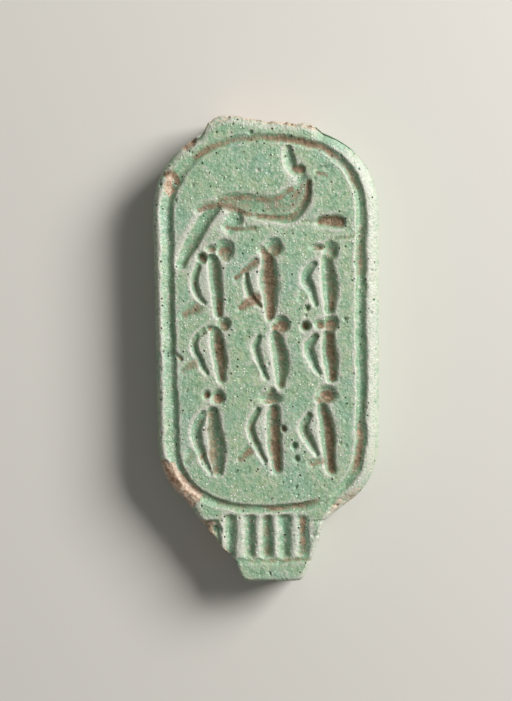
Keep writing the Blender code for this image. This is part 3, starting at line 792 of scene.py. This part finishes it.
def breakFace(face):  # the lost left petal: below a step the face falls away, rough
    height, size = marks["stepWaver"]
    step = marks["petalStep"] + height * face.noise(size, 41, 2)
    start = grooveX(0) - terminal["pitch"] * marks["petalStart"]
    below = fade(face.y - step, *marks["stepWall"])
    away = np.clip(start - face.x, 0, None)
    height, size = marks["petalRough"]
    first, steady, most = marks["petalFall"]
    fall = first + steady * away + height * face.noise(size, 43, 3)
    fall *= below * smoothStep(away, 0.0, marks["petalEdge"])
    return np.clip(fall, 0, most), below * smoothStep(away, *marks["petalBare"])


def chipFace(face, edgeGap):
    sunk = np.zeros(face.x.shape)
    facet = np.zeros(face.x.shape)
    bared = np.zeros(face.x.shape)
    rough = face.noise(marks["chipRough"], 51, 3)
    for (x, y), long, wide, degrees, depth, core in marks["chips"]:
        turn = math.radians(degrees)
        along = ((face.x - x) * math.cos(turn) + (face.y - y) * math.sin(turn)) / long
        across = ((face.y - y) * math.cos(turn) - (face.x - x) * math.sin(turn)) / wide
        inside = fade(np.hypot(along, across) - marks["chipRagged"] * rough, *marks["chipEdge"])
        sunk = np.maximum(sunk, inside * (depth + marks["chipFloor"] * rough))
        bared = np.maximum(bared, inside * core)
    for (x, y), radius, reach, fall, core in marks["edgeChips"]:
        away = np.hypot(face.x - x, face.y - y) / radius
        ragged = marks["facetRagged"] * rough
        left = reach * (1 + ragged) * fade(away - ragged, *marks["facetEdge"])
        left = np.clip(left - edgeGap, 0, None)
        start = smoothStep(left, 0.0, marks["facetStart"])
        facet = np.maximum(facet, fall * left + (marks["facetStep"] + marks["facetRough"] * rough) * start)
        bared = np.maximum(bared, core * start)
    return sunk, facet, bared


def cutMarks(face):
    wide, deep, flat = marks["pitShape"]
    for x, y, radius, soil in marks["pits"]:
        cutBowl(face, (x, y), (radius * wide, radius), radius * deep, soil, flat=flat)
    cutBowl(face, *marks["hollow"])
    for points, wide, depth, soil in marks["scratches"]:
        cutStroke(face, points, [wide] * len(points), depth, soil)
    rng = np.random.default_rng(7)
    low, high = marks["smallRadius"]
    for number in range(marks["smallPits"]):
        x = rng.uniform(lowCorner[0], highCorner[0])
        y = rng.uniform(lowCorner[1], highCorner[1])
        radius = low + (high - low) * rng.random() ** 3
        stretch = rng.uniform(*marks["smallStretch"])
        cutBowl(face, (x, y), (radius * stretch, radius / stretch), marks["smallDepth"] * radius / low,
                rng.random() * marks["smallEarth"], flat=marks["smallFlat"])


relief = {
    "sway": (0.035, 3.4),  # height and size of the hand-made unevenness
    "lumps": (0.020, 0.9),
    "grit": (0.011, 0.24),
    "roughBreak": (0.07, 0.45),
    "breakReach": (0.05, 0.45),  # how far in from a broken edge the face is rough
    "neckBare": ((0.06, 0.22), 0.65),  # how far in the neck's core is bared, and how much
    "petalBare": 0.8,
    "onPetal": 0.35,  # share of the cuts that still shows on the lost petal
    "facetLip": 0.6,  # share of the lip's rounding on a broken facet
    "slopeBend": 1.9,  # over 1 the slope steepens towards the edge
    "slopePale": (0.38, 1.08),  # shares of the slope's width over which its paleness ends
    # heights over which the right slope flattens, and how much of its fall and paleness goes
    "greenTop": ((12.2, 13.5), 0.50, 1.0),
    "thinnest": 0.5,  # the face stays this far over the back's rounding
    "under": 0.002,  # and this far under the solid's highest point
    "earthLost": 0.6,  # on bare core
    "pool": 0.45,  # cuts this deep hold the deepest glaze and the darkest painted shade
    "crest": ((10, 8.0), (70, 5.0)),  # turns of blurring and weight of the worn crests
}


def liftFace(face, edgeGap, edgeKind):
    slopeWide, slopeFall, lip, pale, broken = edgeKind.T
    heights, lostFall, lostPale = relief["greenTop"]
    high = smoothStep(face.y, *heights) * (face.x > 0) * (1 - broken)
    slopeFall = slopeFall * (1 - lostFall * high)
    slope = np.clip(1 - edgeGap / slopeWide, 0, 1) ** relief["slopeBend"] * slopeFall
    near = np.clip(1 - edgeGap / lip, 0, 1)
    roundOff = lip * (1 - np.sqrt(1 - near * near))
    fall, petalBare = breakFace(face)
    chips, facet, chipBare = chipFace(face, edgeGap)
    for name, seed in (("sway", 61), ("lumps", 64), ("grit", 67)):
        height, size = relief[name]
        face.depth -= height * face.noise(size, seed, 2)
    height, size = relief["roughBreak"]
    roughEdge = broken * fade(edgeGap, *relief["breakReach"])
    face.depth += roughEdge * np.abs(height * face.noise(size, 71, 3))
    face.depth = np.maximum(face.depth, relief["onPetal"] * face.depth + fall)
    total = np.maximum(face.depth + slope + roundOff + chips, facet + roundOff * relief["facetLip"])
    low = mesh["backRound"] + relief["thinnest"]
    face.z = np.clip(faceHeight - total, low, highCorner[2] - relief["under"])
    reach, share = relief["neckBare"]
    neckBare = broken * fade(edgeGap, *reach) * share
    face.bare = np.clip(np.maximum.reduce([petalBare * relief["petalBare"], chipBare, neckBare]), 0, 1)
    # pale on the slopes: worn glaze, and painted highlight on the right slope and the flank
    onSlope = fade(edgeGap / slopeWide, *relief["slopePale"])
    face.pale = np.maximum(pale * (1 - lostPale * high) * onSlope, face.wearAndHighlight)
    face.earth *= 1 - relief["earthLost"] * face.bare


def sharpness(z, shape, turns):  # above 0 on crests, below 0 in hollows
    field = z.reshape(shape)
    blurred = field.copy()
    for turn in range(turns):
        padded = np.pad(blurred, 1, mode="edge")
        blurred = (padded[:-2, 1:-1] + padded[2:, 1:-1] + padded[1:-1, :-2] + padded[1:-1, 2:]) / 4
    return (field - blurred).ravel()


# Mesh

def ringPlaces(rows, columns):  # the grid's edge, anticlockwise from the lower left corner
    place = np.arange(rows * columns).reshape(rows, columns)
    return np.concatenate([place[0, :-1], place[:-1, -1], place[-1, :0:-1], place[:0:-1, 0]])


def buildSeal():
    sides = roughenSides(outlineSides())
    points = faceGrid(sides)
    rows, columns = points.shape[:2]
    points = points.reshape(-1, 2)
    face = Face(points)
    ring, kinds = outlineEdge(sides)
    edgeGap, nearest = nearestOutline(points, ring)
    print("outline and grid", rows, columns)

    cutBorder(face)
    cutJackal(face)
    cutCaptives(face)
    cutTerminal(face)
    cutMarks(face)
    # the cuts' depth, by which the glaze is painted deeper green: pooled glaze, and painted shade
    recess = np.clip(face.depth / relief["pool"], 0, 1)
    liftFace(face, edgeGap, kinds[nearest])
    print("carving done, deepest", round(float(faceHeight - face.z.min()), 2), "mm")

    place = np.arange(rows * columns).reshape(rows, columns)
    quads = np.stack([place[:-1, :-1], place[:-1, 1:], place[1:, 1:], place[1:, :-1]], axis=-1)
    edge = ringPlaces(rows, columns)
    x, y = points[edge].T
    top = face.z[edge]
    broken = kinds[nearest][edge][:, -1]
    ahead = np.roll(points[edge], -2, axis=0) - np.roll(points[edge], 2, axis=0)
    ahead /= np.hypot(*ahead.T)[:, None]
    inward = np.column_stack([-ahead[:, 1], ahead[:, 0]])
    levels = [(np.zeros(len(edge)), top * share) for share in mesh["wallSteps"]]
    for degrees in mesh["backAngles"]:
        angle = math.radians(degrees)
        inset, height = [mesh["backRound"] * (1 - turn(angle)) for turn in (math.cos, math.sin)]
        levels.append((np.full(len(edge), inset), np.full(len(edge), height)))
    allPoints = [np.column_stack([points, face.z])]
    walls = []
    before = edge
    count = rows * columns
    bare = [face.bare]
    rough, size = mesh["wallRough"]
    whole, more = mesh["wallShares"]
    for number, (inset, height) in enumerate(levels):
        wander = layeredNoise(x + height * mesh["wallDrift"], y + height, size, 81, 3) * 0.5 + 0.5
        grain = rough * (whole + more * broken) * np.clip(wander, 0, mesh["wallMost"])
        if number == len(levels) - 1:  # the rim of the flat back is even
            grain *= 0.0
        moved = points[edge] + inward * (inset + grain)[:, None]
        allPoints.append(np.column_stack([moved, height + lowCorner[2]]))
        bare.append(broken * mesh["wallBare"])
        after = count + np.arange(len(edge))
        walls.append(np.stack([before, after, np.roll(after, -1), np.roll(before, -1)], axis=-1))
        before = after
        count += len(edge)
    allPoints = np.vstack(allPoints)
    extra = len(allPoints) - rows * columns
    faces = [tuple(quad) for quad in quads.reshape(-1, 4).tolist()]
    faces += [tuple(quad) for quad in np.vstack(walls).tolist()]
    faces.append(tuple(reversed(before.tolist())))

    shell = bpy.data.meshes.new("faienceSeal")
    shell.from_pydata((allPoints * mm).tolist(), [], faces)
    shell.polygons.foreach_set("use_smooth", [True] * (len(faces) - 1) + [False])
    crest = sum(weight * sharpness(face.z, (rows, columns), turns) for turns, weight in relief["crest"])
    onFace = {"recess": recess, "earth": face.earth, "crest": np.clip(crest, 0, 1), "pale": face.pale}
    fields = {name: np.concatenate([values, np.zeros(extra)]) for name, values in onFace.items()}
    fields["bare"] = np.concatenate(bare)
    for name, values in fields.items():
        shell.attributes.new(name, "FLOAT", "POINT").data.foreach_set("value", values.astype(np.float32))
    shell.update()
    made = bpy.data.objects.new("faience_seal", shell)
    scene.collection.objects.link(made)
    triangles = 2 * (len(faces) - 1) + len(edge) - 2
    print("seal built with", triangles, "triangles")
    return made


# Materials

def fromHex(code):  # sRGB hex to linear light
    values = [int(code[k:k + 2], 16) / 255 for k in (0, 2, 4)]
    return [v / 12.92 if v <= 0.04045 else ((v + 0.055) / 1.055) ** 2.4 for v in values] + [1.0]


def addNode(tree, kind, settings=None, links=None, take=0):  # gives back the socket to take
    node = tree.nodes.new("ShaderNode" + kind)
    for name, value in (settings or {}).items():
        if isinstance(name, int) or name in node.inputs:
            node.inputs[name].default_value = value
        else:
            setattr(node, name, value)
    for socket, source in (links or {}).items():
        tree.links.new(source, node.inputs[socket])
    return node.outputs[take]


def perMetre(sizeInMm):  # a pattern's scale for lumps of this size
    return 1 / (sizeInMm * mm)


# Egyptian faience: ground quartz paste under a thin soda glaze coloured by copper, worn
# matt in the ground. The eye sees pale grains and dark air pores in a grey-green skin,
# deeper green in the cuts, partly glaze pooled there and partly painted shade, and buff
# paste where it has chipped off.
faience = {
    "glaze": "89aa88",
    "greyGlaze": "a0b28e",
    "blueGlaze": "84a892",
    # the cuts' deeper green: pooled glaze, and painted shade in the hollows
    "pooledGlaze": "688f70",
    # pale glaze for worn places, and for the painted highlight on the sides that face the light
    "wornGlaze": "bdbcae",
    "dull": "6b8a69",
    "grain": "e6ecdc",
    "pore": "454a3a",
    "earth": "62452f",
    "lightEarth": "94765a",
    "core": "a98b72",
    "paleCore": "cbb8a0",
    # size in millimetres and detail: the glaze's slow change, its clouds, flecks, and the paste
    "patterns": {"drift": (3.2, 2.0), "mottle": (0.55, 4.0), "fleck": (0.24, 3.0), "grit": (0.17, 2.0)},
    "frayed": 0.6,  # how strong their finer layers are
    "grainCell": 0.20,  # one quartz grain to a cell at most
    "poreCell": 0.44,
    # where each mask starts and is full on its pattern, and its least and most strength
    "masks": {
        "cloud": (0.38, 0.64),
        "blue": (0.46, 0.66, 0.0, 0.55),
        "pooledAndShaded": (0.10, 0.90, 0.0, 0.75),
        "dull": (0.47, 0.34, 0.0, 0.75),
        "paled": (0.54, 0.68, 0.0, 0.80),
        "uneven": (0.30, 0.62, 0.4, 1.5),
        "worn": (0.10, 1.1, 0.0, 0.9),
        "grain": (0.78, 0.58),
        "grainKept": (0.35, 0.90),
        "grainThick": (0.36, 0.56, 0.30, 0.85),
        "pore": (0.18, 0.09),
        "poreOpen": (0.46, 0.60),
        "bared": (1.10, 1.50),
        "coreTone": (0.36, 0.62),
        "soiled": (0.90, 1.72, 0.0, 0.88),
        "earthTone": (0.34, 0.68),
        "roughness": (0.3, 0.7, 0.36, 0.52),
    },
    "grainRagged": 0.7,  # how far grit frays the grains, and how far they differ in size
    "grainSpread": 0.24,
    "coreRagged": 0.7,
    "earthRagged": 0.8,
    "earthMatt": 0.22,
    "grainRise": 0.6,  # of the grains over the grit, and of the pores below it
    "poreRise": -2.0,
    "reliefDepth": 0.060,  # of all three, in millimetres
    "ior": 1.5,
}


def faienceMaterial():
    material = bpy.data.materials.new("weathered faience")
    material.use_nodes = True
    tree = material.node_tree
    shader = tree.nodes["Principled BSDF"]
    shader.inputs["IOR"].default_value = faience["ior"]
    place = addNode(tree, "TexCoord", take="Object")
    recess, earth, bare, crest, pale = [
        addNode(tree, "Attribute", {"attribute_name": name}, take="Fac")
        for name in ("recess", "earth", "bare", "crest", "pale")
    ]
    drift, mottle, fleck, grit = [
        addNode(tree, "TexNoise", {"Scale": perMetre(size), "Detail": detail,
                                   "Roughness": faience["frayed"]}, {"Vector": place})
        for size, detail in faience["patterns"].values()
    ]
    tone = {name: fromHex(code) for name, code in faience.items() if isinstance(code, str)}
    mask = {
        name: {"interpolation_type": "SMOOTHSTEP", **dict(enumerate(values, 1))}
        for name, values in faience["masks"].items()
    }
    colour = {"data_type": "RGBA"}
    times = {"operation": "MULTIPLY"}
    plus = {"operation": "ADD"}
    more = {"operation": "MULTIPLY_ADD"}

    # glaze: grey and blue-green clouds, pooled glaze and painted shade in the cuts, dull and worn flecks
    cloud = addNode(tree, "MapRange", mask["cloud"], {0: mottle})
    blue = addNode(tree, "MapRange", mask["blue"], {0: drift})
    pooledAndShaded = addNode(tree, "MapRange", mask["pooledAndShaded"], {0: recess})
    dull = addNode(tree, "MapRange", mask["dull"], {0: fleck})
    paled = addNode(tree, "MapRange", mask["paled"], {0: fleck})

    # pale wear on crests, and painted highlight on the right slope, the flank, the left lips and the reeds'
    # right sides
    uneven = addNode(tree, "MapRange", mask["uneven"], {0: grit})
    worn = addNode(tree, "Math", plus, {0: crest, 1: pale})
    worn = addNode(tree, "Math", times, {0: worn, 1: uneven})
    worn = addNode(tree, "MapRange", mask["worn"], {0: worn})

    # pale quartz grains that break the skin, in some cells only
    grainGap = addNode(tree, "TexVoronoi", {"Scale": perMetre(faience["grainCell"])}, {"Vector": place})
    picks = addNode(tree, "SeparateColor", {}, {0: grainGap.node.outputs["Color"]})
    ragged = addNode(tree, "Math", {**more, 1: faience["grainRagged"]}, {0: grit, 2: grainGap})
    ragged = addNode(tree, "Math", {**more, 1: faience["grainSpread"]},
                     {0: picks.node.outputs["Green"], 2: ragged})
    grains = addNode(tree, "MapRange", mask["grain"], {0: ragged})
    for name, source in (("grainKept", picks), ("grainThick", mottle)):
        share = addNode(tree, "MapRange", mask[name], {0: source})
        grains = addNode(tree, "Math", times, {0: grains, 1: share})

    # burst air bubbles
    poreGap = addNode(tree, "TexVoronoi", {"Scale": perMetre(faience["poreCell"])}, {"Vector": place})
    picks = addNode(tree, "SeparateColor", {}, {0: poreGap.node.outputs["Color"]})
    pores = addNode(tree, "MapRange", mask["pore"], {0: poreGap})
    share = addNode(tree, "MapRange", mask["poreOpen"], {0: picks})
    pores = addNode(tree, "Math", times, {0: pores, 1: share})

    skin = addNode(tree, "Mix", {**colour, 6: tone["glaze"], 7: tone["greyGlaze"]}, {0: cloud}, 2)
    layers = [("blueGlaze", blue), ("pooledGlaze", pooledAndShaded), ("dull", dull), ("wornGlaze", paled),
              ("wornGlaze", worn), ("grain", grains), ("pore", pores)]
    for name, share in layers:
        skin = addNode(tree, "Mix", {**colour, 7: tone[name]}, {0: share, 6: skin}, 2)

    # bared core on breaks and earth left in the cuts, both with ragged edges
    ragged = addNode(tree, "Math", plus, {0: mottle, 1: fleck})
    share = addNode(tree, "MapRange", mask["coreTone"], {0: fleck})
    core = addNode(tree, "Mix", {**colour, 6: tone["core"], 7: tone["paleCore"]}, {0: share}, 2)
    bared = addNode(tree, "Math", {**more, 1: faience["coreRagged"]}, {0: ragged, 2: bare})
    bared = addNode(tree, "MapRange", mask["bared"], {0: bared})
    skin = addNode(tree, "Mix", colour, {0: bared, 6: skin, 7: core}, 2)
    share = addNode(tree, "MapRange", mask["earthTone"], {0: fleck})
    soil = addNode(tree, "Mix", {**colour, 6: tone["earth"], 7: tone["lightEarth"]}, {0: share}, 2)
    soiled = addNode(tree, "Math", {**more, 1: faience["earthRagged"]}, {0: ragged, 2: earth})
    soiled = addNode(tree, "MapRange", mask["soiled"], {0: soiled})
    skin = addNode(tree, "Mix", colour, {0: soiled, 6: skin, 7: soil}, 2)
    tree.links.new(skin, shader.inputs["Base Color"])

    # satin glaze, matt earth
    gloss = addNode(tree, "MapRange", mask["roughness"], {0: mottle})
    gloss = addNode(tree, "Math", {**more, 1: faience["earthMatt"]}, {0: soiled, 2: gloss})
    tree.links.new(gloss, shader.inputs["Roughness"])

    # fine relief: grit, grains that stand out, pores that sink in
    height = addNode(tree, "Math", {**more, 1: faience["grainRise"]}, {0: grains, 2: grit})
    height = addNode(tree, "Math", {**more, 1: faience["poreRise"]}, {0: pores, 2: height})
    depth = faience["reliefDepth"] * mm
    bump = addNode(tree, "Bump", {"Strength": 1.0, "Distance": depth}, {"Height": height})
    tree.links.new(bump, shader.inputs["Normal"])
    return material


def plainMaterial(name, code, roughness):
    material = bpy.data.materials.new(name)
    material.use_nodes = True
    shader = material.node_tree.nodes["Principled BSDF"]
    shader.inputs["Base Color"].default_value = fromHex(code)
    shader.inputs["Roughness"].default_value = roughness
    return material


# Floor, light and camera

studio = {
    "floorColour": "cdc9c1",
    "floorSide": 900.0,
    "floorRoughness": 0.85,
    "floorGap": 0.01,  # so the back and the floor don't share a plane
    "frameHeight": 45.13,  # millimetres that the picture is tall
    "frameMiddle": (-0.644, -0.161),
    "lens": 100.0,
    "sensor": 36.0,
    # turn: degrees from the face's right towards its upper end
    "key": {"power": 1.10, "side": 130.0, "turn": 30.0, "rise": 35.0, "gap": 260.0},
    "fill": {"power": 0.05, "side": 200.0, "turn": 200.0, "rise": 60.0, "gap": 300.0},
    "sky": 0.15,
    "clip": (0.001, 10.0),
}


def aim(thing, place, target):
    thing.location = place
    thing.rotation_euler = (Vector(target) - Vector(place)).to_track_quat("-Z", "Y").to_euler()


def addLight(name, power, side, turn, rise, gap):
    lamp = bpy.data.lights.new(name, "AREA")
    lamp.energy = power
    lamp.size = side * mm
    holder = bpy.data.objects.new(name, lamp)
    scene.collection.objects.link(holder)
    turn = math.radians(turn)
    rise = math.radians(rise)
    way = Vector((math.cos(turn) * math.cos(rise), math.sin(turn) * math.cos(rise), math.sin(rise)))
    aim(holder, way * gap * mm, (0, 0, 0))


def buildStudio():
    side = studio["floorSide"] * mm / 2
    sheet = bpy.data.meshes.new("floor")
    low = (lowCorner[2] - studio["floorGap"]) * mm
    sheet.from_pydata([(-side, -side, low), (side, -side, low), (side, side, low), (-side, side, low)], [],
                      [(0, 1, 2, 3)])
    floor = bpy.data.objects.new("floor", sheet)
    board = plainMaterial("pale matt board", studio["floorColour"], studio["floorRoughness"])
    floor.data.materials.append(board)
    scene.collection.objects.link(floor)

    for name in ("key", "fill"):
        addLight(name, **studio[name])
    world = bpy.data.worlds.new("soft room")
    world.use_nodes = True
    sky = world.node_tree.nodes["Background"].inputs
    sky["Color"].default_value = (1, 1, 1, 1)
    sky["Strength"].default_value = studio["sky"]
    scene.world = world
    scene.view_settings.view_transform = "Standard"

    lens = bpy.data.cameras.new("camera")
    lens.lens = studio["lens"]
    lens.sensor_width = studio["sensor"]
    lens.clip_start, lens.clip_end = studio["clip"]
    camera = bpy.data.objects.new("camera", lens)
    scene.collection.objects.link(camera)
    gap = studio["frameHeight"] * studio["lens"] / studio["sensor"]
    x, y = studio["frameMiddle"]
    camera.location = Vector((x, y, highCorner[2] + gap)) * mm
    scene.camera = camera


seal = buildSeal()
seal.data.materials.append(faienceMaterial())
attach(seal, "root")
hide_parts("seal")
print("finish on")
buildStudio()
print("studio set")
